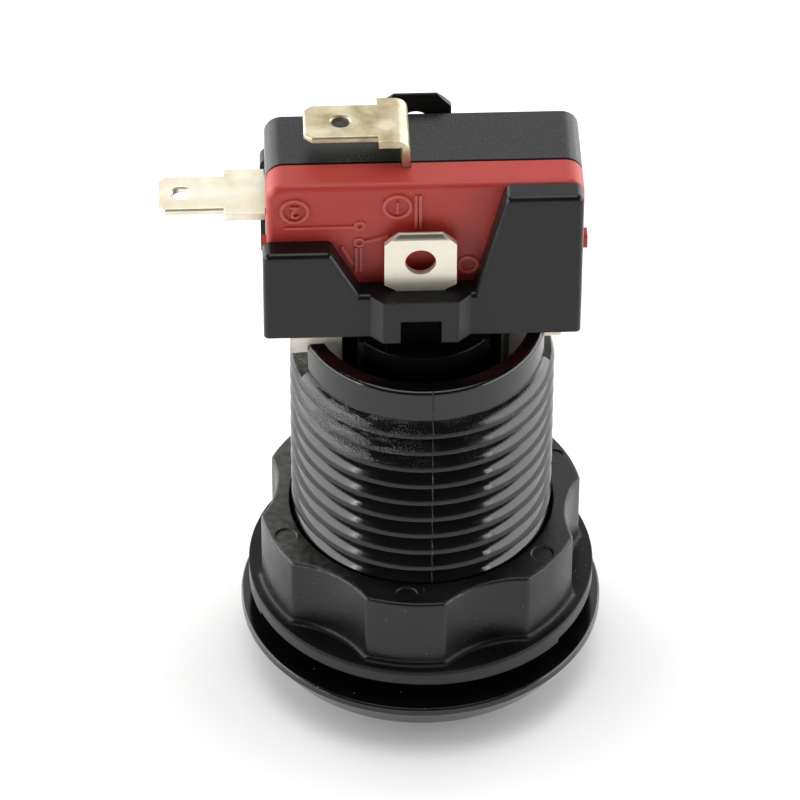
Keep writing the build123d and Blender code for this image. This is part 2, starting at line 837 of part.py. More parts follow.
with BuildPart() as moving_contact:
    with BuildSketch(Plane.XY.offset(contact_bottom)):
        with Locations((contact_x, 0)):
            Circle(contact_d / 2)
    extrude(amount=contact_head_h)
    with BuildSketch(Plane.XY.offset(contact_bottom)):
        with Locations((contact_x, 0)):
            Circle(contact_shank_d / 2)
    extrude(amount=contact_top - contact_bottom)
    with BuildSketch(Plane.XY.offset(contact_top)):
        with Locations((contact_x, 0)):
            Circle(contact_d / 2)
    extrude(amount=-contact_head_h)
moving_contact.part.label = "moving_contact"
export_step(moving_contact.part, "parts/moving_contact.step")

with BuildPart() as fixed_contact:
    with BuildSketch(Plane.XY.offset(fixed_contact_z)):
        with Locations((contact_x, 0)):
            Circle(contact_d / 2)
    extrude(amount=fixed_contact_h)
fixed_contact.part.label = "fixed_contact"
export_step(fixed_contact.part, "parts/fixed_contact.step")

stop_left = strip_gap - cavity_x - stop_pocket
with BuildPart() as contact_stop:
    with BuildSketch(Plane.XY.offset(stop_z - stop_t / 2)):
        with Locations(((stop_left + stop_right) / 2, 0)):
            Rectangle(stop_right - stop_left, blade_w)
    extrude(amount=stop_t)
contact_stop.part.label = "contact_stop"
export_step(contact_stop.part, "parts/contact_stop.step")


# Switch terminals: stepped tabs with clipped tips and a hole
def tab_plan(wide_l, narrow_l, hole_from_tip):
    tip = -wide_l - narrow_l
    with BuildSketch() as plan:
        with BuildLine():
            Polyline(
                (0, 0),
                (0, tab_wide / 2),
                (-wide_l, tab_wide / 2),
                (-wide_l, tab_narrow / 2),
                (tip + tab_tip, tab_narrow / 2),
                (tip, tab_narrow / 2 - tab_tip),
                (tip, 0),
            )
            mirror(about=Plane.XZ)
        make_face()
        with Locations((tip + hole_from_tip, 0)):
            Circle(tab_hole_d / 2, mode=Mode.SUBTRACT)
    return plan.sketch


stem_foot = switch_top + touch_gap
common_tab_top = common_tab_z + terminal_t
common_tip = common_x - common_wide_l - common_tab_l
with BuildPart() as common_terminal:
    with BuildSketch(Plane.XY.offset(stem_foot)):
        with Locations((common_x, tab_y)):
            add(tab_plan(common_wide_l, common_tab_l, common_hole))
    extrude(amount=common_tab_top - stem_foot)
    with BuildSketch(Plane.XZ.offset(-tab_y - tab_wide / 2)) as bent_strip:
        with BuildLine():
            Polyline(
                (common_tip, common_tab_z),
                (stem_left, common_tab_z),
                (stem_left, stem_foot),
                (common_x, stem_foot),
                (common_x, common_tab_top),
                (common_tip, common_tab_top),
                close=True,
            )
        make_face()
        bend_corners = bent_strip.vertices()
        outer_bend = bend_corners.sort_by_distance((common_x, common_tab_top))[0]
        inner_bend = bend_corners.sort_by_distance((stem_left, common_tab_z))[0]
        fillet(outer_bend, common_bend_r)
        fillet(inner_bend, common_bend_r - terminal_t)
    extrude(amount=tab_wide, mode=Mode.INTERSECT)
    common_blade = common_terminal.faces().filter_by(Axis.Z).edges().filter_by_position(
        Axis.X, common_tip, common_x - common_wide_l - tab_edge
    )
    chamfer(common_blade, tab_edge)
    with BuildSketch(Plane.XZ.offset(-common_inner_back)):
        with BuildLine():
            Polyline(
                (stem_left, common_strip_z),
                (stem_left, stem_foot),
                (common_x, stem_foot),
                (common_x, common_strip_z + terminal_t),
                (blade_right, common_strip_z + terminal_t),
                (blade_right, blade_top + touch_gap),
                (blade_right - terminal_t, blade_top + touch_gap),
                (blade_right - terminal_t, common_strip_z),
                close=True,
            )
        make_face()
    extrude(amount=common_inner_back - stem_front)
common_terminal.part.label = "common_terminal"
export_step(common_terminal.part, "parts/common_terminal.step")

open_left = -switch_l / 2 - touch_gap
with BuildPart() as normally_open_terminal:
    with BuildSketch(Plane.XY.offset(open_z)):
        with Locations((open_left, tab_y)):
            add(tab_plan(open_wide_l, open_tab_l, open_hole))
        with Locations(((open_left + open_right) / 2, tab_y)):
            Rectangle(open_right - open_left, tab_narrow)
    extrude(amount=terminal_t)
    open_blade = normally_open_terminal.faces().filter_by(Axis.Z).edges().filter_by_position(
        Axis.X, open_left - open_wide_l - open_tab_l, open_left - open_wide_l - tab_edge
    )
    chamfer(open_blade, tab_edge)
normally_open_terminal.part.label = "normally_open_terminal"
export_step(normally_open_terminal.part, "parts/normally_open_terminal.step")
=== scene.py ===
from math import cos, pi, radians, sin

import bmesh
import bpy
from mathutils import Matrix, Vector


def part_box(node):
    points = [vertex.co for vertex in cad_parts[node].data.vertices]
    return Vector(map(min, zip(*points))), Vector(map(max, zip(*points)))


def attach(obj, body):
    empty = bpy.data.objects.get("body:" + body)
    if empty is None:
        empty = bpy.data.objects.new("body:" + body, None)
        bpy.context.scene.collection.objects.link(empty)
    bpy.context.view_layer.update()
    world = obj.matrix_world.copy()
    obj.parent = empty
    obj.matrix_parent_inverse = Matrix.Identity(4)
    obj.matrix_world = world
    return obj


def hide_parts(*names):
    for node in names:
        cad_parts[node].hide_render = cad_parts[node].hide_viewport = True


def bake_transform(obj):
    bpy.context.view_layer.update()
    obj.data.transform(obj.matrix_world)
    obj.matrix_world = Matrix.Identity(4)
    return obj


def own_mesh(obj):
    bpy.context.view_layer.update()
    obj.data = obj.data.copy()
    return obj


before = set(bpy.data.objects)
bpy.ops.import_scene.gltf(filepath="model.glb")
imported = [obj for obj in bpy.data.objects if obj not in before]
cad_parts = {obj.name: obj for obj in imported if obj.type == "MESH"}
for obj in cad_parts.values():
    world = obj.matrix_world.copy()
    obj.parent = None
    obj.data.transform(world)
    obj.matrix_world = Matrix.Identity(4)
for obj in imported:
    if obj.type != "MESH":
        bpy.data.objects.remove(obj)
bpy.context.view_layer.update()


# Bezel and barrel: one moulding in black ABS, with level ridges for its thread and a flat collar.
# Everything else is carried by it: the nut runs on its thread, and the button slides inside it.
MM = 0.001


def srgb(code):
    channels = [int(code[i : i + 2], 16) / 255 for i in (1, 3, 5)]
    return [c / 12.92 if c <= 0.04045 else ((c + 0.055) / 1.055) ** 2.4 for c in channels] + [1.0]


def add(material, kind, sockets=None, **settings):
    node = material.node_tree.nodes.new(kind)
    for name, value in settings.items():
        setattr(node, name, value)
    for socket, value in (sockets or {}).items():
        if isinstance(value, bpy.types.NodeSocket):
            material.node_tree.links.new(value, node.inputs[socket])
        else:
            node.inputs[socket].default_value = value
    return node


def start_material(name, **sockets):
    material = bpy.data.materials.new(name)
    material.use_nodes = True
    shader = material.node_tree.nodes["Principled BSDF"]
    for socket, value in sockets.items():
        shader.inputs[socket.replace("_", " ")].default_value = value
    return material, shader


def feed(material, shader, socket, output):
    material.node_tree.links.new(output, shader.inputs[socket])


def paint(material, *names):
    for name in names:
        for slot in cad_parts[name].material_slots:
            slot.material = material


# Glossy black ABS: clean mirror-like flanks, a fine grain, dust specks on the bezel, and a band of
# speckle and streaks on the first three ridges where the nut was driven on, heavier on the left.
# The grit and the speckle are drawn coarser than real, so that they show.
gloss_abs, shader = start_material("gloss_black_abs", IOR=1.5, Specular_IOR_Level=0.5)
place = add(gloss_abs, "ShaderNodeTexCoord").outputs["Object"]
spot = add(gloss_abs, "ShaderNodeSeparateXYZ", {"Vector": place})
flow_mm, grit_mm, scuff_mm, dust_mm = 3.0, 0.25, 0.13, 1.1
flow = add(gloss_abs, "ShaderNodeTexNoise", {"Vector": place, "Scale": 1 / (flow_mm * MM), "Detail": 3.0})
grit = add(gloss_abs, "ShaderNodeTexNoise", {"Vector": place, "Scale": 1 / (grit_mm * MM), "Detail": 2.0})
scuff = add(gloss_abs, "ShaderNodeTexNoise", {"Vector": place, "Scale": 1 / (scuff_mm * MM), "Detail": 4.0})
streak_mm, streak_flatness = 2.6, 5
level = add(gloss_abs, "ShaderNodeMapping", {"Vector": place, "Scale": (1, 1, streak_flatness)})
streak = add(
    gloss_abs,
    "ShaderNodeTexNoise",
    {"Vector": level.outputs[0], "Scale": 1 / (streak_mm * MM), "Detail": 5.0},
)
band_end, band_top, band_low, band_start = 29.9 * MM, 29.6 * MM, 26.4 * MM, 23.2 * MM
band_right, band_left = 0.0, -6.0 * MM
worn = add(
    gloss_abs,
    "ShaderNodeMapRange",
    {"Value": spot.outputs["Z"], "From Min": band_end, "From Max": band_top},
)
for value, low, high, least in (
    (spot.outputs["Z"], band_start, band_low, 0.0),
    (spot.outputs["X"], band_right, band_left, 0.2),
    (streak.outputs["Fac"], 0.4, 0.6, 0.1),
):
    share = add(
        gloss_abs,
        "ShaderNodeMapRange",
        {"Value": value, "From Min": low, "From Max": high, "To Min": least},
        interpolation_type="SMOOTHSTEP",
    )
    worn = add(gloss_abs, "ShaderNodeMath", {0: worn.outputs[0], 1: share.outputs[0]}, operation="MULTIPLY")
torn = add(
    gloss_abs,
    "ShaderNodeMapRange",
    {"Value": scuff.outputs["Fac"], "From Min": 0.5, "From Max": 0.62},
)
torn = add(gloss_abs, "ShaderNodeMath", {0: torn.outputs[0], 1: worn.outputs[0]}, operation="MULTIPLY")
tone = add(
    gloss_abs,
    "ShaderNodeMix",
    {"Factor": flow.outputs["Fac"], 6: srgb("#060607"), 7: srgb("#0c0c0e")},
    data_type="RGBA",
)
dust_edge, dust_core, bare_share, dust_top = 0.1, 0.05, 0.5, 1.0 * MM
dust = add(gloss_abs, "ShaderNodeTexVoronoi", {"Vector": place, "Scale": 1 / (dust_mm * MM)})
speck = add(
    gloss_abs,
    "ShaderNodeMapRange",
    {"Value": dust.outputs["Distance"], "From Min": dust_edge, "From Max": dust_core},
)
chosen = add(gloss_abs, "ShaderNodeSeparateColor", {"Color": dust.outputs["Color"]})
chosen = add(gloss_abs, "ShaderNodeMath", {0: chosen.outputs[0], 1: bare_share}, operation="GREATER_THAN")
on_bezel = add(gloss_abs, "ShaderNodeMath", {0: spot.outputs["Z"], 1: dust_top}, operation="LESS_THAN")
for share in (chosen, on_bezel):
    speck = add(
        gloss_abs, "ShaderNodeMath", {0: speck.outputs[0], 1: share.outputs[0]}, operation="MULTIPLY"
    )
pale = add(gloss_abs, "ShaderNodeMath", {0: torn.outputs[0], 1: speck.outputs[0]}, operation="MAXIMUM")
tone = add(
    gloss_abs,
    "ShaderNodeMix",
    {"Factor": pale.outputs[0], 6: tone.outputs[2], 7: srgb("#5c5c59")},
    data_type="RGBA",
)
feed(gloss_abs, shader, "Base Color", tone.outputs[2])
polish = add(
    gloss_abs,
    "ShaderNodeMapRange",
    {"Value": flow.outputs["Fac"], "From Min": 0.3, "From Max": 0.7, "To Min": 0.1, "To Max": 0.2},
)
torn_dull = 0.2
dull = add(
    gloss_abs,
    "ShaderNodeMath",
    {0: torn.outputs[0], 1: torn_dull, 2: polish.outputs[0]},
    operation="MULTIPLY_ADD",
)
feed(gloss_abs, shader, "Roughness", dull.outputs[0])
edge_round, grain_deep, score_deep = 0.12 * MM, 0.02 * MM, 0.09 * MM
edge = add(gloss_abs, "ShaderNodeBevel", {"Radius": edge_round}, samples=6)
grain = add(
    gloss_abs,
    "ShaderNodeBump",
    {"Height": grit.outputs["Fac"], "Normal": edge.outputs[0], "Strength": 0.12, "Distance": grain_deep},
)
scored = add(
    gloss_abs,
    "ShaderNodeBump",
    {
        "Height": scuff.outputs["Fac"],
        "Normal": grain.outputs[0],
        "Strength": worn.outputs[0],
        "Distance": score_deep,
    },
)
feed(gloss_abs, shader, "Normal", scored.outputs[0])
paint(gloss_abs, "bezel_barrel")


# Parting line: a hair of flash that the mould's two halves left down the front of the barrel.
# It is the same plastic, torn rough and paler, and follows every ridge above the nut.
MERGE = 0.001 * MM


def merged_copy(node):
    body = bmesh.new()
    body.from_mesh(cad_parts[node].data)
    bmesh.ops.remove_doubles(body, verts=body.verts, dist=MERGE)
    return body


def make_piece(piece, body, material, smooth_angle=None):
    mesh = bpy.data.meshes.new(piece)
    body.to_mesh(mesh)
    body.free()
    if smooth_angle:
        mesh.shade_smooth()
        mesh.set_sharp_from_angle(angle=radians(smooth_angle))
    mesh.materials.append(material)
    made = bpy.data.objects.new(piece, mesh)
    bpy.context.scene.collection.objects.link(made)
    return made


def keep_side(body, point, normal):
    everything = body.verts[:] + body.edges[:] + body.faces[:]
    cut = bmesh.ops.bisect_plane(body, geom=everything, plane_co=point, plane_no=normal, clear_outer=True)
    rim = [e for e in cut["geom_cut"] if isinstance(e, bmesh.types.BMEdge)]
    bmesh.ops.edgenet_fill(body, edges=rim)


seam_turn, seam_w, seam_proud = radians(-87.4), 0.12 * MM, 0.03 * MM
seam_low, seam_root = 10 * MM, 10.6 * MM
seam_out = Vector((cos(seam_turn), sin(seam_turn), 0))
seam_side = Vector((-sin(seam_turn), cos(seam_turn), 0))
flash = merged_copy("bezel_barrel")
keep_side(flash, (0, 0, seam_low), (0, 0, -1))
keep_side(flash, seam_out * seam_root, -seam_out)
keep_side(flash, seam_side * seam_w / 2, seam_side)
keep_side(flash, -seam_side * seam_w / 2, -seam_side)
bmesh.ops.translate(flash, verts=flash.verts, vec=seam_out * seam_proud)
bmesh.ops.recalc_face_normals(flash, faces=flash.faces)
flash_abs, shader = start_material("torn_flash_abs", Roughness=0.42, Specular_IOR_Level=0.3)
place = add(flash_abs, "ShaderNodeTexCoord").outputs["Object"]
tear_mm = 0.6
tear = add(flash_abs, "ShaderNodeTexNoise", {"Vector": place, "Scale": 1 / (tear_mm * MM), "Detail": 2.0})
ragged = add(
    flash_abs,
    "ShaderNodeMapRange",
    {"Value": tear.outputs["Fac"], "From Min": 0.5, "From Max": 0.64},
)
tone = add(
    flash_abs,
    "ShaderNodeMix",
    {"Factor": ragged.outputs[0], 6: srgb("#080809"), 7: srgb("#484846")},
    data_type="RGBA",
)
feed(flash_abs, shader, "Base Color", tone.outputs[2])
seam = make_piece("parting_line", flash, flash_abs)
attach(seam, "housing")


# Panel nut: a ring in black nylon with six lobes to grip, ramped teeth below and six ejector marks.
# Its satin face has fine level drag marks, with dust on top, and painted shade in the corner over the
# flange, where the gloss is cut.
nut_top, grip_h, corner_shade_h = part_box("panel_nut")[1].z, 7.75 * MM, 0.7 * MM
flange_top = nut_top - grip_h
satin_nylon, shader = start_material("satin_black_nylon", IOR=1.5, Specular_IOR_Level=0.42)
place = add(satin_nylon, "ShaderNodeTexCoord").outputs["Object"]
spot = add(satin_nylon, "ShaderNodeSeparateXYZ", {"Vector": place})
cloud_mm, drag_mm, drag_flatness, dust_mm = 4.0, 0.55, 3, 0.9
cloud = add(
    satin_nylon, "ShaderNodeTexNoise", {"Vector": place, "Scale": 1 / (cloud_mm * MM), "Detail": 5.0}
)
level = add(satin_nylon, "ShaderNodeMapping", {"Vector": place, "Scale": (1, 1, drag_flatness)})
texture = add(
    satin_nylon,
    "ShaderNodeTexNoise",
    {"Vector": level.outputs[0], "Scale": 1 / (drag_mm * MM), "Detail": 5.0},
)
dust_edge, dust_core, bare_share = 0.09, 0.04, 0.6
dust = add(satin_nylon, "ShaderNodeTexVoronoi", {"Vector": place, "Scale": 1 / (dust_mm * MM)})
speck = add(
    satin_nylon,
    "ShaderNodeMapRange",
    {"Value": dust.outputs["Distance"], "From Min": dust_edge, "From Max": dust_core},
)
chosen = add(satin_nylon, "ShaderNodeSeparateColor", {"Color": dust.outputs["Color"]})
chosen = add(satin_nylon, "ShaderNodeMath", {0: chosen.outputs[0], 1: bare_share}, operation="GREATER_THAN")
speck = add(
    satin_nylon, "ShaderNodeMath", {0: speck.outputs[0], 1: chosen.outputs[0]}, operation="MULTIPLY"
)
film_low, film_right, film_left, film_most = nut_top - 0.4 * MM, -6.0 * MM, -12.5 * MM, 0.45
film = add(satin_nylon, "ShaderNodeMath", {0: spot.outputs["Z"], 1: film_low}, operation="GREATER_THAN")
for value, low, high, most in (
    (spot.outputs["X"], film_right, film_left, film_most),
    (texture.outputs["Fac"], 0.25, 0.7, 1.0),
):
    share = add(
        satin_nylon,
        "ShaderNodeMapRange",
        {"Value": value, "From Min": low, "From Max": high, "To Max": most},
    )
    film = add(
        satin_nylon, "ShaderNodeMath", {0: film.outputs[0], 1: share.outputs[0]}, operation="MULTIPLY"
    )
dusted = add(satin_nylon, "ShaderNodeMath", {0: film.outputs[0], 1: speck.outputs[0]}, operation="MAXIMUM")
tone = add(
    satin_nylon,
    "ShaderNodeMix",
    {"Factor": texture.outputs["Fac"], 6: srgb("#010102"), 7: srgb("#141415")},
    data_type="RGBA",
)
dusty = add(
    satin_nylon,
    "ShaderNodeMix",
    {"Factor": dusted.outputs[0], 6: tone.outputs[2], 7: srgb("#6a6a63")},
    data_type="RGBA",
)
feed(satin_nylon, shader, "Base Color", dusty.outputs[2])
# Painted shade: the gloss is cut in a band over the flange, to darken the fillet's corner.
corner_shade_lap, clean_gloss, corner_shade_gloss = 0.02 * MM, 0.42, 0.18
corner = add(
    satin_nylon,
    "ShaderNodeMath",
    {0: spot.outputs["Z"], 1: flange_top + corner_shade_h / 2, 2: corner_shade_h / 2 + corner_shade_lap},
    operation="COMPARE",
)
gloss = add(
    satin_nylon,
    "ShaderNodeMapRange",
    {"Value": corner.outputs[0], "To Min": clean_gloss, "To Max": corner_shade_gloss},
)
feed(satin_nylon, shader, "Specular IOR Level", gloss.outputs[0])
sheen = add(
    satin_nylon,
    "ShaderNodeMapRange",
    {"Value": cloud.outputs["Fac"], "From Min": 0.3, "From Max": 0.7, "To Min": 0.26, "To Max": 0.42},
)
feed(satin_nylon, shader, "Roughness", sheen.outputs[0])
edge_round, grain_deep = 0.2 * MM, 0.05 * MM
edge = add(satin_nylon, "ShaderNodeBevel", {"Radius": edge_round}, samples=6)
grain = add(
    satin_nylon,
    "ShaderNodeBump",
    {"Height": texture.outputs["Fac"], "Normal": edge.outputs[0], "Strength": 0.5, "Distance": grain_deep},
)
feed(satin_nylon, shader, "Normal", grain.outputs[0])
paint(satin_nylon, "panel_nut")


# Button cap: a dished disc in milky acrylic that lets the lamp's light through.
# It is polished, presses onto the pusher, and the whole button stands on its rim here.
glow_deep = 1.5 * MM
milky_acrylic, shader = start_material(
    "milky_acrylic", IOR=1.49, Subsurface_Weight=0.3, Subsurface_Scale=glow_deep, Roughness=0.16
)
place = add(milky_acrylic, "ShaderNodeTexCoord").outputs["Object"]
haze_mm = 2.5
haze = add(
    milky_acrylic, "ShaderNodeTexNoise", {"Vector": place, "Scale": 1 / (haze_mm * MM), "Detail": 3.0}
)
tone = add(
    milky_acrylic,
    "ShaderNodeMix",
    {"Factor": haze.outputs["Fac"], 6: srgb("#e4e2d8"), 7: srgb("#f2f1ea")},
    data_type="RGBA",
)
feed(milky_acrylic, shader, "Base Color", tone.outputs[2])
paint(milky_acrylic, "button_cap")


# Pusher: a cream acetal cup under the cap, with two legs whose feet stand in the barrel's slots.
# The feet are the cream blocks that show under the switch bracket, a little soiled.
glow_deep = 0.6 * MM
cream_acetal, shader = start_material(
    "cream_acetal", IOR=1.48, Subsurface_Weight=0.1, Subsurface_Scale=glow_deep
)
place = add(cream_acetal, "ShaderNodeTexCoord").outputs["Object"]
soil_mm, skin_mm = 1.6, 0.2
soil = add(cream_acetal, "ShaderNodeTexNoise", {"Vector": place, "Scale": 1 / (soil_mm * MM), "Detail": 5.0})
skin = add(cream_acetal, "ShaderNodeTexNoise", {"Vector": place, "Scale": 1 / (skin_mm * MM), "Detail": 2.0})
stain = add(
    cream_acetal,
    "ShaderNodeMapRange",
    {"Value": soil.outputs["Fac"], "From Min": 0.5, "From Max": 0.75},
)
tone = add(
    cream_acetal,
    "ShaderNodeMix",
    {"Factor": stain.outputs[0], 6: srgb("#f6f2e2"), 7: srgb("#d6ceb4")},
    data_type="RGBA",
)
feed(cream_acetal, shader, "Base Color", tone.outputs[2])
dull = add(
    cream_acetal,
    "ShaderNodeMapRange",
    {"Value": soil.outputs["Fac"], "To Min": 0.35, "To Max": 0.55},
)
feed(cream_acetal, shader, "Roughness", dull.outputs[0])
edge_round, grain_deep = 0.15 * MM, 0.02 * MM
edge = add(cream_acetal, "ShaderNodeBevel", {"Radius": edge_round}, samples=6)
grain = add(
    cream_acetal,
    "ShaderNodeBump",
    {"Height": skin.outputs["Fac"], "Normal": edge.outputs[0], "Strength": 0.2, "Distance": grain_deep},
)
feed(cream_acetal, shader, "Normal", grain.outputs[0])
paint(cream_acetal, "pusher")


# Return spring: nine turns of drawn steel wire between the pusher's floor and the lamp holder.
# Its upper end stays on the holder's shoulder. The real coil shortens by the button's stroke; here it stays
# still with the housing.
drawn_steel, shader = start_material("drawn_steel_wire", Metallic=1.0)
place = add(drawn_steel, "ShaderNodeTexCoord").outputs["Object"]
draw_mm = 0.4
draw = add(drawn_steel, "ShaderNodeTexNoise", {"Vector": place, "Scale": 1 / (draw_mm * MM), "Detail": 3.0})
tone = add(
    drawn_steel,
    "ShaderNodeMix",
    {"Factor": draw.outputs["Fac"], 6: srgb("#a8a8a6"), 7: srgb("#c9c8c4")},
    data_type="RGBA",
)
feed(drawn_steel, shader, "Base Color", tone.outputs[2])
satin = add(drawn_steel, "ShaderNodeMapRange", {"Value": draw.outputs["Fac"], "To Min": 0.2, "To Max": 0.4})
feed(drawn_steel, shader, "Roughness", satin.outputs[0])
spring = make_piece("spring_coil", merged_copy("return_spring"), drawn_steel, smooth_angle=60)
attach(spring, "housing")
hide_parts("return_spring")
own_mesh(spring)


# Lamp holder: the black moulding that carries the lamp in the barrel and clips round the switch.
# It is glass-filled nylon with a satin face, and bayonet lugs hold it under the barrel's web.
# The window under the front tab and the rib below it carry painted shade: near black, with almost no gloss.

# Satin filled nylon: a soft, even sheen. Its fibre grain is drawn coarser than real, so that it shows.
filled_nylon, shader = start_material("satin_filled_nylon", IOR=1.5, Specular_IOR_Level=0.34)
place = add(filled_nylon, "ShaderNodeTexCoord").outputs["Object"]
drift_mm, fibre_mm = 5.0, 0.16
drift = add(
    filled_nylon, "ShaderNodeTexNoise", {"Vector": place, "Scale": 1 / (drift_mm * MM), "Detail": 4.0}
)
fibre = add(
    filled_nylon, "ShaderNodeTexNoise", {"Vector": place, "Scale": 1 / (fibre_mm * MM), "Detail": 3.0}
)
tone = add(
    filled_nylon,
    "ShaderNodeMix",
    {"Factor": drift.outputs["Fac"], 6: srgb("#0a0a0c"), 7: srgb("#131416")},
    data_type="RGBA",
)
boss_x, window_half_w, rib_half_w = -0.47 * MM, 1.84 * MM, 3.02 * MM
window_y, window_z = (-8.24 * MM, -7.05 * MM), (36.4 * MM, 38.91 * MM)
rib_y, rib_z = (-7.03 * MM, -6.97 * MM), (34.0 * MM, 36.5 * MM)
along = add(filled_nylon, "ShaderNodeSeparateXYZ", {"Vector": place})
# Painted shade: boxes round the window and the rib are painted near black, with their gloss cut.
shaded_recesses = []
for half_w, y_range, z_range in ((window_half_w, window_y, window_z), (rib_half_w, rib_y, rib_z)):
    recess_shade = add(
        filled_nylon, "ShaderNodeMath", {0: along.outputs["X"], 1: boss_x, 2: half_w}, operation="COMPARE"
    )
    for axis, (low, high) in (("Y", y_range), ("Z", z_range)):
        between = add(
            filled_nylon,
            "ShaderNodeMath",
            {0: along.outputs[axis], 1: (low + high) / 2, 2: (high - low) / 2},
            operation="COMPARE",
        )
        recess_shade = add(
            filled_nylon, "ShaderNodeMath", {0: recess_shade.outputs[0], 1: between.outputs[0]}, operation="MULTIPLY"
        )
    shaded_recesses.append(recess_shade.outputs[0])
recess_shade = add(filled_nylon, "ShaderNodeMath", dict(enumerate(shaded_recesses)), operation="MAXIMUM")
recess_shade_tone = add(
    filled_nylon,
    "ShaderNodeMix",
    {"Factor": recess_shade.outputs[0], 6: tone.outputs[2], 7: srgb("#020202")},
    data_type="RGBA",
)
feed(filled_nylon, shader, "Base Color", recess_shade_tone.outputs[2])
face_gloss, recess_shade_gloss = 0.34, 0.02
gloss = add(
    filled_nylon,
    "ShaderNodeMapRange",
    {"Value": recess_shade.outputs[0], "To Min": face_gloss, "To Max": recess_shade_gloss},
)
feed(filled_nylon, shader, "Specular IOR Level", gloss.outputs[0])
sheen = add(
    filled_nylon,
    "ShaderNodeMapRange",
    {"Value": drift.outputs["Fac"], "From Min": 0.3, "From Max": 0.7, "To Min": 0.24, "To Max": 0.34},
)
feed(filled_nylon, shader, "Roughness", sheen.outputs[0])
edge_round, grain_deep = 0.15 * MM, 0.03 * MM
edge = add(filled_nylon, "ShaderNodeBevel", {"Radius": edge_round}, samples=6)
grain = add(
    filled_nylon,
    "ShaderNodeBump",
    {"Height": fibre.outputs["Fac"], "Normal": edge.outputs[0], "Strength": 0.18, "Distance": grain_deep},
)
feed(filled_nylon, shader, "Normal", grain.outputs[0])
paint(filled_nylon, "lamp_holder")


# Lamp terminals and the switch's back stop: stamped brass strip with a tin plate.
# The tabs are coined at the tip, where the middle of the chamfer carries a painted dark reflection, and
# pierced for a receptacle's latch. The front one is bright and slightly stained, and the rear one is the
# same plate painted dark, as a painted reflection of the black switch case.

# Tin plate: a pale, half-matt shine. Its rolling grain is drawn coarser than real, so that it shows.
bloom_mm, roll_mm = 2.4, 0.12
coin_h, tip_w, coin_top, coin_fade = 0.75 * MM, 3.85 * MM, 0.1 * MM, 0.25 * MM
edge_round, grain_deep = 0.1 * MM, 0.02 * MM
for name, clean, stained, painted_tip_dark, node_names in (
    ("bright_tin_plate", "#f0ebdd", "#e2dac6", "#716d62", ("lamp_terminal_front", "contact_stop")),
    # Painted reflection: the rear terminal's plate is painted dark for the black case it reflects.
    ("dark_reflection_tin_plate", "#3a3937", "#1c1b1a", "#1a1918", ("lamp_terminal_rear",)),
):
    tin, shader = start_material(name, Metallic=0.7)
    place = add(tin, "ShaderNodeTexCoord").outputs["Object"]
    along = add(tin, "ShaderNodeSeparateXYZ", {"Vector": place})
    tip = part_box(node_names[0])[1].z
    # Painted dark reflection: the middle of the tip's chamfer is painted dark, leaving the corner cuts
    # bright.
    rise = add(
        tin,
        "ShaderNodeMapRange",
        {"Value": along.outputs["Z"], "From Min": tip - coin_h, "From Max": tip - coin_h / 2},
    )
    below = add(tin, "ShaderNodeMath", {0: along.outputs["Z"], 1: tip - coin_top}, operation="LESS_THAN")
    aside = add(tin, "ShaderNodeMath", {0: along.outputs["X"], 1: boss_x}, operation="SUBTRACT")
    aside = add(tin, "ShaderNodeMath", {0: aside.outputs[0]}, operation="ABSOLUTE")
    slant = add(tin, "ShaderNodeMath", {0: aside.outputs[0], 1: along.outputs["Z"]}, operation="ADD")
    corner = tip + tip_w / 2
    across = add(
        tin,
        "ShaderNodeMapRange",
        {"Value": slant.outputs[0], "From Min": corner, "From Max": corner - coin_fade},
    )
    tip_shade_mask = below
    for share in (across, rise):
        tip_shade_mask = add(
            tin,
            "ShaderNodeMath",
            {0: tip_shade_mask.outputs[0], 1: share.outputs[0]},
            operation="MULTIPLY",
        )
    bloom = add(tin, "ShaderNodeTexNoise", {"Vector": place, "Scale": 1 / (bloom_mm * MM), "Detail": 5.0})
    roll = add(tin, "ShaderNodeTexNoise", {"Vector": place, "Scale": 1 / (roll_mm * MM), "Detail": 2.0})
    tone = add(
        tin,
        "ShaderNodeMix",
        {"Factor": bloom.outputs["Fac"], 6: srgb(clean), 7: srgb(stained)},
        data_type="RGBA",
    )
    tone = add(
        tin,
        "ShaderNodeMix",
        {"Factor": tip_shade_mask.outputs[0], 6: tone.outputs[2], 7: srgb(painted_tip_dark)},
        data_type="RGBA",
    )
    feed(tin, shader, "Base Color", tone.outputs[2])
    satin = add(tin, "ShaderNodeMapRange", {"Value": bloom.outputs["Fac"], "To Min": 0.24, "To Max": 0.42})
    feed(tin, shader, "Roughness", satin.outputs[0])
    edge = add(tin, "ShaderNodeBevel", {"Radius": edge_round}, samples=6)
    grain = add(
        tin,
        "ShaderNodeBump",
        {"Height": roll.outputs["Fac"], "Normal": edge.outputs[0], "Strength": 0.15, "Distance": grain_deep},
    )
    feed(tin, shader, "Normal", grain.outputs[0])
    paint(tin, *node_names)


# Lamp: a white nylon wedge base with a clear diode, a lacquered resistor and four tinned wires.
# It pushes up into the holder's socket, where the wires meet the lamp terminals' leaves.
chalk_mm, swirl_mm, band_mm, band_cut, smear_mm = 1.2, 1.5, 0.7, 0.4, 0.5

# White nylon: dull and slightly chalky.
white_nylon, shader = start_material("white_nylon", IOR=1.5, Roughness=0.45)
place = add(white_nylon, "ShaderNodeTexCoord").outputs["Object"]
chalk = add(
    white_nylon,
    "ShaderNodeTexNoise",
    {"Vector": place, "Scale": 1 / (chalk_mm * MM), "Detail": 3.0},
)
tone = add(
    white_nylon,
    "ShaderNodeMix",
    {"Factor": chalk.outputs["Fac"], 6: srgb("#dedcd2"), 7: srgb("#efeee8")},
    data_type="RGBA",
)
feed(white_nylon, shader, "Base Color", tone.outputs[2])
paint(white_nylon, "lamp_base")

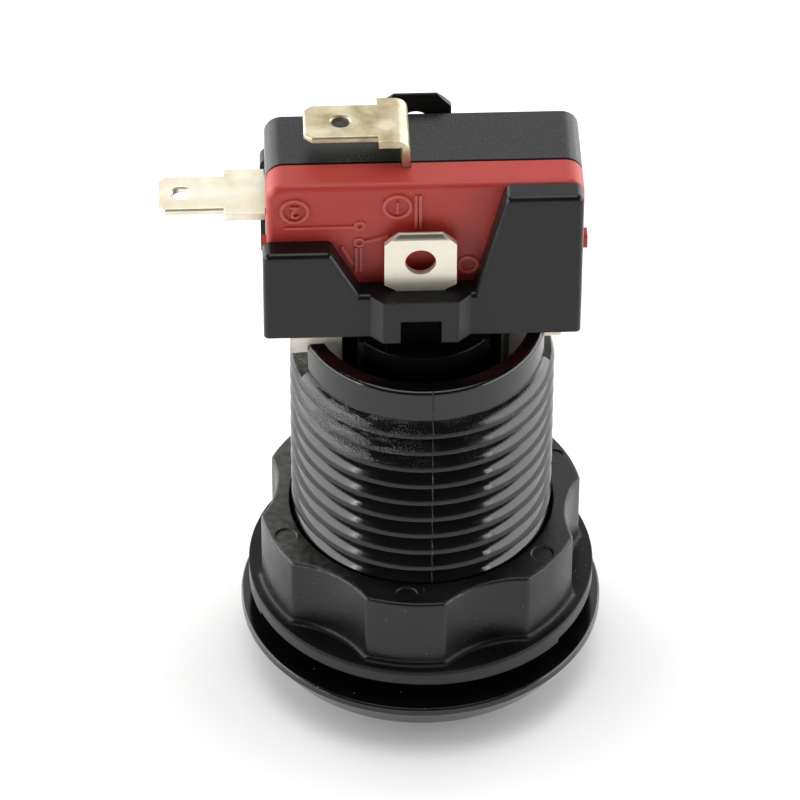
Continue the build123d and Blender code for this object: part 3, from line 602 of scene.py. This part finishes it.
# Clear epoxy: water-clear and smooth, with a faint cool swirl.
clear_epoxy, shader = start_material("clear_epoxy", IOR=1.53, Transmission_Weight=0.85, Roughness=0.06)
place = add(clear_epoxy, "ShaderNodeTexCoord").outputs["Object"]
swirl = add(
    clear_epoxy,
    "ShaderNodeTexNoise",
    {"Vector": place, "Scale": 1 / (swirl_mm * MM), "Detail": 2.0},
)
tone = add(
    clear_epoxy,
    "ShaderNodeMix",
    {"Factor": swirl.outputs["Fac"], 6: srgb("#f1f4f2"), 7: srgb("#e6ecee")},
    data_type="RGBA",
)
feed(clear_epoxy, shader, "Base Color", tone.outputs[2])
paint(clear_epoxy, "led_bulb")

# Resistor lacquer: a tan gloss with brown value bands.
lacquer, shader = start_material("tan_resistor_lacquer", IOR=1.5, Roughness=0.3)
place = add(lacquer, "ShaderNodeTexCoord").outputs["Object"]
height = add(lacquer, "ShaderNodeSeparateXYZ", {"Vector": place})
stripes = add(
    lacquer, "ShaderNodeMath", {0: height.outputs["Z"], 1: 2 * pi / (band_mm * MM)}, operation="MULTIPLY"
)
stripes = add(lacquer, "ShaderNodeMath", {0: stripes.outputs[0]}, operation="SINE")
stripes = add(lacquer, "ShaderNodeMath", {0: stripes.outputs[0], 1: band_cut}, operation="GREATER_THAN")
tone = add(
    lacquer,
    "ShaderNodeMix",
    {"Factor": stripes.outputs[0], 6: srgb("#c8ad7e"), 7: srgb("#7a4a2a")},
    data_type="RGBA",
)
feed(lacquer, shader, "Base Color", tone.outputs[2])
paint(lacquer, "lamp_resistor")

# Tinned wire: a soft grey shine, smeared by the dip.
tinned_wire, shader = start_material("tinned_wire", Metallic=1.0, Roughness=0.3)
place = add(tinned_wire, "ShaderNodeTexCoord").outputs["Object"]
smear = add(
    tinned_wire,
    "ShaderNodeTexNoise",
    {"Vector": place, "Scale": 1 / (smear_mm * MM), "Detail": 3.0},
)
tone = add(
    tinned_wire,
    "ShaderNodeMix",
    {"Factor": smear.outputs["Fac"], 6: srgb("#b9b7b0"), 7: srgb("#d4d2ca")},
    data_type="RGBA",
)
feed(tinned_wire, shader, "Base Color", tone.outputs[2])
paint(tinned_wire, "lamp_leads")


# Switch case and pin: dark grey phenolic mouldings, the case closed in front by the red cover.
# A satin face with fine pale filler specks, drawn coarser than real so that they show, and a line of
# painted shade, near black with its gloss cut, where the cover meets the case.
phenolic, shader = start_material("grey_phenolic", IOR=1.5, Specular_IOR_Level=0.4)
place = add(phenolic, "ShaderNodeTexCoord").outputs["Object"]
filler_mm, mottle_mm = 0.22, 3.0
filler = add(phenolic, "ShaderNodeTexNoise", {"Vector": place, "Scale": 1 / (filler_mm * MM), "Detail": 3.0})
mottle = add(phenolic, "ShaderNodeTexNoise", {"Vector": place, "Scale": 1 / (mottle_mm * MM), "Detail": 3.0})
pale = add(
    phenolic,
    "ShaderNodeMapRange",
    {"Value": filler.outputs["Fac"], "From Min": 0.5, "From Max": 0.8},
)
tone = add(
    phenolic,
    "ShaderNodeMix",
    {"Factor": pale.outputs[0], 6: srgb("#19191a"), 7: srgb("#3a3a3a")},
    data_type="RGBA",
)
# Painted shade: a strip of the case at the cover's face is painted near black, with its gloss cut.
joint_y, joint_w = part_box("switch_case")[0].y, 0.28 * MM
depth = add(phenolic, "ShaderNodeSeparateXYZ", {"Vector": place}).outputs["Y"]
joint_shade = add(phenolic, "ShaderNodeMath", {0: depth, 1: joint_y, 2: joint_w}, operation="COMPARE")
shadow = add(
    phenolic,
    "ShaderNodeMix",
    {"Factor": joint_shade.outputs[0], 6: tone.outputs[2], 7: srgb("#050505")},
    data_type="RGBA",
)
feed(phenolic, shader, "Base Color", shadow.outputs[2])
face_gloss, joint_shade_gloss = 0.4, 0.03
gloss = add(
    phenolic,
    "ShaderNodeMapRange",
    {"Value": joint_shade.outputs[0], "To Min": face_gloss, "To Max": joint_shade_gloss},
)
feed(phenolic, shader, "Specular IOR Level", gloss.outputs[0])
sheen = add(phenolic, "ShaderNodeMapRange", {"Value": mottle.outputs["Fac"], "To Min": 0.22, "To Max": 0.34})
feed(phenolic, shader, "Roughness", sheen.outputs[0])
edge_round, grain_deep = 0.2 * MM, 0.04 * MM
edge = add(phenolic, "ShaderNodeBevel", {"Radius": edge_round}, samples=6)
grain = add(
    phenolic,
    "ShaderNodeBump",
    {"Height": filler.outputs["Fac"], "Normal": edge.outputs[0], "Strength": 0.35, "Distance": grain_deep},
)
feed(phenolic, shader, "Normal", grain.outputs[0])
paint(phenolic, "switch_case", "switch_pin")


# Switch cover: a red PBT lid on the front of the case, held by the bracket's plates.
# Satin moulded plastic, paler where light rakes over it, with raised marks on its face.
red_pbt, shader = start_material("satin_red_pbt", IOR=1.5, Specular_IOR_Level=0.4)
place = add(red_pbt, "ShaderNodeTexCoord").outputs["Object"]
blush_mm, pebble_mm = 4.0, 0.2
blush = add(red_pbt, "ShaderNodeTexNoise", {"Vector": place, "Scale": 1 / (blush_mm * MM), "Detail": 3.0})
pebble = add(red_pbt, "ShaderNodeTexNoise", {"Vector": place, "Scale": 1 / (pebble_mm * MM), "Detail": 3.0})
tone = add(
    red_pbt,
    "ShaderNodeMix",
    {"Factor": blush.outputs["Fac"], 6: srgb("#a22f27"), 7: srgb("#b03a31")},
    data_type="RGBA",
)
feed(red_pbt, shader, "Base Color", tone.outputs[2])
sheen = add(red_pbt, "ShaderNodeMapRange", {"Value": blush.outputs["Fac"], "To Min": 0.34, "To Max": 0.5})
feed(red_pbt, shader, "Roughness", sheen.outputs[0])
edge_round, grain_deep = 0.15 * MM, 0.04 * MM
edge = add(red_pbt, "ShaderNodeBevel", {"Radius": edge_round}, samples=6)
grain = add(
    red_pbt,
    "ShaderNodeBump",
    {"Height": pebble.outputs["Fac"], "Normal": edge.outputs[0], "Strength": 0.3, "Distance": grain_deep},
)
feed(red_pbt, shader, "Normal", grain.outputs[0])
paint(red_pbt, "switch_cover")


# Cover marks: two plain numbers in rings and the lines of a switch symbol, raised on the cover.
# They are part of the red moulding, one to two tenths proud, and painted paler than the field, as a painted
# highlight where light catches the relief.
# Places and radii on the cover's face are in millimetres.
cover_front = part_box("switch_cover")[0].y
mark_sink, mark_w = 0.06 * MM, 0.27 * MM
bar_rise, dot_rise, ring_rise, number_rise = 0.17 * MM, 0.12 * MM, 0.185 * MM, 0.21 * MM
dot_r, plain_r, number_r, number_h, ring_steps = 0.52, 0.95, 1.3, 1.8, 40
upright = Matrix.Rotation(radians(90), 4, "X")
marks = bmesh.new()


def on_cover(x, z, rise):
    return Matrix.Translation((x * MM, cover_front + (mark_sink - rise) / 2, z * MM)) @ upright


def bar(x0, z0, x1, z1):
    run = Vector((x1 - x0, z1 - z0))
    turn = Matrix.Rotation(run.angle_signed(Vector((1, 0))), 4, "Z")
    size = Matrix.Diagonal((run.length * MM, mark_w, bar_rise + mark_sink, 1))
    middle = on_cover((x0 + x1) / 2, (z0 + z1) / 2, bar_rise)
    bmesh.ops.create_cube(marks, size=1.0, matrix=middle @ turn @ size)


def ring(x, z, radius, rise):
    place = on_cover(x, z, rise)
    half = (rise + mark_sink) / 2
    outer, inner = radius * MM, radius * MM - mark_w
    corners = ((inner, -half), (outer, -half), (outer, half), (inner, half))
    verts = [marks.verts.new(place @ Vector((across, 0, up))) for across, up in corners]
    loop = [marks.edges.new((verts[i], verts[(i + 1) % 4])) for i in range(4)]
    bmesh.ops.spin(
        marks,
        geom=verts + loop,
        cent=place.translation,
        axis=(0, 1, 0),
        angle=2 * pi,
        steps=ring_steps,
        use_merge=True,
    )


for x, z in ((-5.74, 47.35), (-5.8, 45.5)):
    ring(x, z, dot_r, dot_rise)
ring(3.76, 42.8, plain_r, ring_rise)
for line in (
    (-12.4, 47.25, -6.2, 47.25),
    (-5.3, 45.6, -3.2, 46.15),
    (-6.08, 44.95, -6.08, 42.3),
    (-5.66, 44.95, -5.66, 42.3),
    (-7.36, 45.1, -6.41, 43.1),
    (-0.85, 50.6, -0.85, 47.0),
    (-0.45, 50.6, -0.45, 47.0),
):
    bar(*line)
for number, x, z in (("2", -11.45, 49.1), ("1", -2.46, 49.4)):
    ring(x, z, number_r, ring_rise)
    text = bpy.data.curves.new("number", "FONT")
    text.body, text.size = number, number_h * MM
    text.align_x, text.align_y = "CENTER", "CENTER"
    text.extrude = (number_rise + mark_sink) / 2
    letter = bpy.data.objects.new("number", text)
    bpy.context.scene.collection.objects.link(letter)
    outline = bpy.data.meshes.new_from_object(letter)
    outline.transform(on_cover(x, z, number_rise) @ Matrix.Rotation(pi, 4, "Z"))
    marks.from_mesh(outline)
    bpy.data.objects.remove(letter)
    bpy.data.meshes.remove(outline)
bmesh.ops.remove_doubles(marks, verts=marks.verts, dist=MERGE)
bmesh.ops.recalc_face_normals(marks, faces=marks.faces)
# Painted highlight: the marks are painted a paler red than the cover's field.
highlit_pbt, shader = start_material("painted_highlight_red_pbt", IOR=1.5, Roughness=0.4)
place = add(highlit_pbt, "ShaderNodeTexCoord").outputs["Object"]
highlight_mottle_mm, edge_round = 1.2, 0.08 * MM
highlight_mottle = add(highlit_pbt, "ShaderNodeTexNoise", {"Vector": place, "Scale": 1 / (highlight_mottle_mm * MM), "Detail": 3.0})
tone = add(
    highlit_pbt,
    "ShaderNodeMix",
    {"Factor": highlight_mottle.outputs["Fac"], 6: srgb("#ab3b33"), 7: srgb("#c25046")},
    data_type="RGBA",
)
feed(highlit_pbt, shader, "Base Color", tone.outputs[2])
edge = add(highlit_pbt, "ShaderNodeBevel", {"Radius": edge_round}, samples=6)
feed(highlit_pbt, shader, "Normal", edge.outputs[0])
cover_marks = make_piece("cover_marks", marks, highlit_pbt)
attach(cover_marks, "housing")


# Blade and contacts: a rolled bronze strip with a silver rivet at its free end, under a fixed rivet.
# They are shut inside the switch. The real strip bends up with the rivet when the pin is pushed; here it is
# cut across into short lengths and stays straight.
bronze, shader = start_material("rolled_bronze", Metallic=1.0, Roughness=0.3)
place = add(bronze, "ShaderNodeTexCoord").outputs["Object"]
roll_mm, roll_length = 1.5, 12
lines = add(bronze, "ShaderNodeMapping", {"Vector": place, "Scale": (1, roll_length, 1)})
rolled = add(
    bronze, "ShaderNodeTexNoise", {"Vector": lines.outputs[0], "Scale": 1 / (roll_mm * MM), "Detail": 3.0}
)
tone = add(
    bronze,
    "ShaderNodeMix",
    {"Factor": rolled.outputs["Fac"], 6: srgb("#b08a52"), 7: srgb("#c9a468")},
    data_type="RGBA",
)
feed(bronze, shader, "Base Color", tone.outputs[2])
strip = merged_copy("moving_blade")
strip_low, strip_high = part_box("moving_blade")
bend_count = 24
for bend in range(1, bend_count):
    cut_x = strip_low.x + (strip_high.x - strip_low.x) * bend / bend_count
    everything = strip.verts[:] + strip.edges[:] + strip.faces[:]
    bmesh.ops.bisect_plane(strip, geom=everything, plane_co=(cut_x, 0, 0), plane_no=(1, 0, 0))
blade = make_piece("contact_blade", strip, bronze, smooth_angle=40)
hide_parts("moving_blade")
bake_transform(blade)

# Contact silver: white and bright, with fine pits from the spark.
silver, shader = start_material("contact_silver", Metallic=1.0)
place = add(silver, "ShaderNodeTexCoord").outputs["Object"]
pit_mm = 0.3
pits = add(silver, "ShaderNodeTexNoise", {"Vector": place, "Scale": 1 / (pit_mm * MM), "Detail": 3.0})
tone = add(
    silver,
    "ShaderNodeMix",
    {"Factor": pits.outputs["Fac"], 6: srgb("#c8c8c4"), 7: srgb("#e2e2de")},
    data_type="RGBA",
)
feed(silver, shader, "Base Color", tone.outputs[2])
satin = add(silver, "ShaderNodeMapRange", {"Value": pits.outputs["Fac"], "To Min": 0.2, "To Max": 0.4})
feed(silver, shader, "Roughness", satin.outputs[0])
paint(silver, "moving_contact", "fixed_contact")


# Switch terminals: stepped brass tabs, plated and coined along their edges, moulded into the case.
# The plate is matt. The side tab is still pale, and the top one has toned to beige in patches.
patina_mm, rub_mm = 2.2, 0.3
edge_round, grain_deep = 0.1 * MM, 0.03 * MM
for name, clean, toned, node_name in (
    ("toned_tin_plate", "#dcd2b6", "#a5966f", "common_terminal"),
    ("pale_tin_plate", "#f2ecda", "#e2d7bb", "normally_open_terminal"),
):
    plate, shader = start_material(name, Metallic=0.9)
    place = add(plate, "ShaderNodeTexCoord").outputs["Object"]
    patina = add(
        plate, "ShaderNodeTexNoise", {"Vector": place, "Scale": 1 / (patina_mm * MM), "Detail": 5.0}
    )
    rub = add(plate, "ShaderNodeTexNoise", {"Vector": place, "Scale": 1 / (rub_mm * MM), "Detail": 3.0})
    tarnish = add(
        plate, "ShaderNodeMapRange", {"Value": patina.outputs["Fac"], "From Min": 0.36, "From Max": 0.66}
    )
    tone = add(
        plate,
        "ShaderNodeMix",
        {"Factor": tarnish.outputs[0], 6: srgb(clean), 7: srgb(toned)},
        data_type="RGBA",
    )
    feed(plate, shader, "Base Color", tone.outputs[2])
    satin = add(plate, "ShaderNodeMapRange", {"Value": rub.outputs["Fac"], "To Min": 0.26, "To Max": 0.42})
    feed(plate, shader, "Roughness", satin.outputs[0])
    edge = add(plate, "ShaderNodeBevel", {"Radius": edge_round}, samples=6)
    grain = add(
        plate,
        "ShaderNodeBump",
        {"Height": rub.outputs["Fac"], "Normal": edge.outputs[0], "Strength": 0.15, "Distance": grain_deep},
    )
    feed(plate, shader, "Normal", grain.outputs[0])
    paint(plate, node_name)


# Studio: a white table and a pale surround, with soft boxes at both sides, behind and overhead.
# Only the front above the camera stays dark, so black faces that look that way stay black.
table_half, surround_r, pulp_mm = 2.0, 2.5, 25.0
under_button = Matrix.Translation((0, 0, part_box("button_cap")[0].z))
table = bmesh.new()
bmesh.ops.create_grid(table, x_segments=1, y_segments=1, size=table_half, matrix=under_button)
white_card, shader = start_material("white_card", Roughness=0.8, Specular_IOR_Level=0.0)
place = add(white_card, "ShaderNodeTexCoord").outputs["Object"]
pulp = add(white_card, "ShaderNodeTexNoise", {"Vector": place, "Scale": 1 / (pulp_mm * MM), "Detail": 2.0})
tone = add(
    white_card,
    "ShaderNodeMix",
    {"Factor": pulp.outputs["Fac"], 6: srgb("#f4f4f4"), 7: srgb("#f8f8f7")},
    data_type="RGBA",
)
feed(white_card, shader, "Base Color", tone.outputs[2])
floor = make_piece("floor", table, white_card)

surround_shell = bmesh.new()
bmesh.ops.create_icosphere(surround_shell, subdivisions=4, radius=surround_r)
pale_wall = bpy.data.materials.new("pale_wall")
pale_wall.use_nodes = True
pale_wall.node_tree.nodes.clear()
glow = add(pale_wall, "ShaderNodeEmission", {"Color": srgb("#fefefe"), "Strength": 1.0})
add(pale_wall, "ShaderNodeOutputMaterial", {"Surface": glow.outputs[0]})
surround = make_piece("surround", surround_shell, pale_wall)
surround.visible_diffuse = surround.visible_glossy = surround.visible_transmission = False
surround.visible_shadow = False

world = bpy.data.worlds.new("dark_room")
bpy.context.scene.world = world
world.use_nodes = True
world.node_tree.nodes["Background"].inputs["Color"].default_value = srgb("#454545")
world.node_tree.nodes["Background"].inputs["Strength"].default_value = 1.0

for name, stand, aim, width, height, radiance in (
    ("left_box", (-0.34, 0.1, 0.1), (0, 0.1, 0.06), 0.66, 0.22, 4.6),
    ("right_box", (0.34, 0.1, 0.1), (0, 0.1, 0.06), 0.66, 0.22, 4.4),
    ("left_edge", (-0.33, -0.225, 0.09), (0, 0, 0.03), 0.03, 0.18, 9.0),
    ("right_edge", (0.315, -0.245, 0.085), (0, 0, 0.03), 0.04, 0.15, 7.0),
    ("left_rear", (-0.36, 0.36, 0.3), (0, 0, 0.05), 0.34, 0.26, 1.7),
    ("right_rear", (0.36, 0.36, 0.3), (0, 0, 0.05), 0.34, 0.26, 1.7),
    ("back_box", (0, 0.62, 0.46), (0, 0, 0.03), 1.2, 0.6, 1.1),
    ("top_box", (0, 0.02, 0.62), (0, 0, 0), 0.5, 0.5, 2.85),
):
    lamp = bpy.data.lights.new(name, "AREA")
    lamp.shape, lamp.size, lamp.size_y = "RECTANGLE", width, height
    lamp.energy = radiance * pi * width * height
    soft_box = bpy.data.objects.new(name, lamp)
    facing = (Vector(aim) - Vector(stand)).to_track_quat("-Z", "Y").to_matrix().to_4x4()
    soft_box.matrix_world = Matrix.Translation(stand) @ facing
    soft_box.visible_camera = False
    bpy.context.scene.collection.objects.link(soft_box)


# Camera: a long lens from above the switch's front, standing where the photograph's camera stood.
# It looks 40 degrees down at the middle of the barrel, turned and rolled by a hair.
view_turn, view_rise, view_roll = radians(-2.35), radians(40.29), radians(0.211)
view_aim, view_far = Vector((-1.972, 0, 22.844)) * MM, 525.2 * MM
turned = Matrix.Rotation(view_turn, 3, "Z")
back = turned @ Vector((0, -cos(view_rise), sin(view_rise)))
right = turned @ Vector((1, 0, 0))
up = back.cross(right)
upright_view = Matrix((right, up, back)).transposed()
sensor_mm, focal_mm = 36.0, 260.4
lens = bpy.data.cameras.new("camera")
lens.sensor_width, lens.sensor_fit, lens.lens = sensor_mm, "HORIZONTAL", focal_mm
camera = bpy.data.objects.new("camera", lens)
bpy.context.scene.collection.objects.link(camera)
rolled_view = upright_view @ Matrix.Rotation(view_roll, 3, "Z")
camera.matrix_world = Matrix.Translation(turned @ view_aim + back * view_far) @ rolled_view.to_4x4()
bpy.context.scene.camera = camera
bpy.context.scene.view_settings.view_transform = "Standard"
